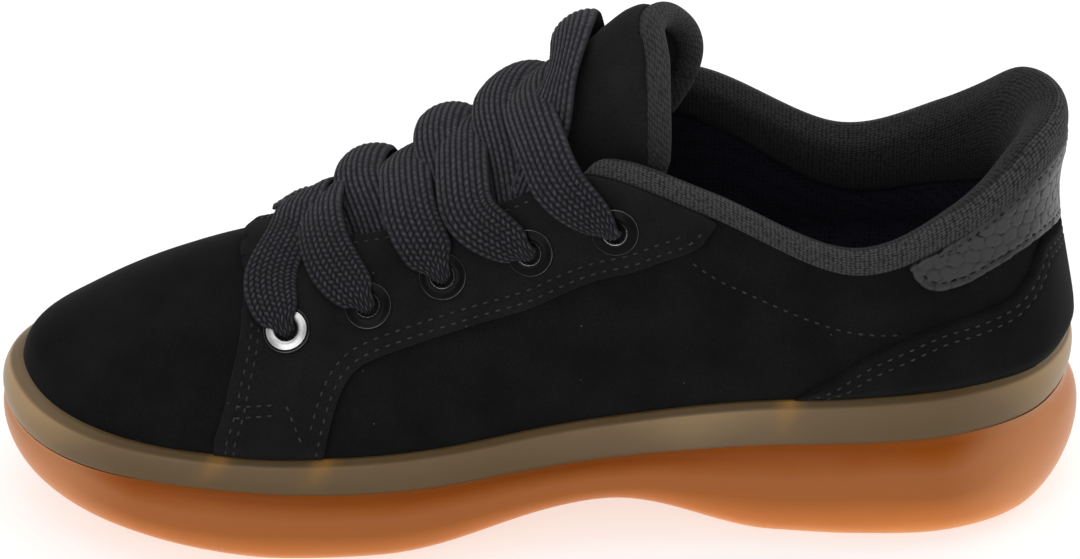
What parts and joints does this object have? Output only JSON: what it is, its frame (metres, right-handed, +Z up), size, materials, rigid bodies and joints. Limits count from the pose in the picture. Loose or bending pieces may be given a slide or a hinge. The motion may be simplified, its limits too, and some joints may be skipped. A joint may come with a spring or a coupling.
{
  "type": "low suede sneaker, right shoe",
  "caption": "Low lace-up suede sneaker for a right foot, with padded collar and tongue, facing with eyelets, heel tab and a thick translucent rubber sole",
  "frame": {"origin": "centre of the shoe's box, on the floor under the sole", "axes": "X along the shoe, toe at -X and heel at +X; -Y inner side of the foot, +Y outer side; +Z up"},
  "size_m": [0.28, 0.1013, 0.1364],
  "materials": {
    "suede": "matte napped suede",
    "suede_overlay": "matte napped suede",
    "knit": "fine knit",
    "embossed_leather": "glossy embossed",
    "lace": "flat braid",
    "eyelet_metal": "gloss black",
    "insole_fabric": "woven",
    "band_rubber": "translucent gloss",
    "sole_rubber": "translucent gloss"
  },
  "bodies": {
    "root": {"upper": "suede", "outsole": "sole_rubber", "sidewall_band": "band_rubber", "insole": "insole_fabric", "eyestay": "suede_overlay", "heel_counter": "suede_overlay", "heel_tab": "embossed_leather", "collar": "knit", "tongue": "suede", "tongue_binding": "knit", "eyelet_medial_1": "eyelet_metal", "eyelet_medial_2": "eyelet_metal", "eyelet_medial_3": "eyelet_metal", "eyelet_medial_4": "eyelet_metal", "eyelet_medial_5": "eyelet_metal", "eyelet_lateral_1": "eyelet_metal", "eyelet_lateral_2": "eyelet_metal", "eyelet_lateral_3": "eyelet_metal", "eyelet_lateral_4": "eyelet_metal", "eyelet_lateral_5": "eyelet_metal", "laces": "lace"}
  },
  "joints": []
}
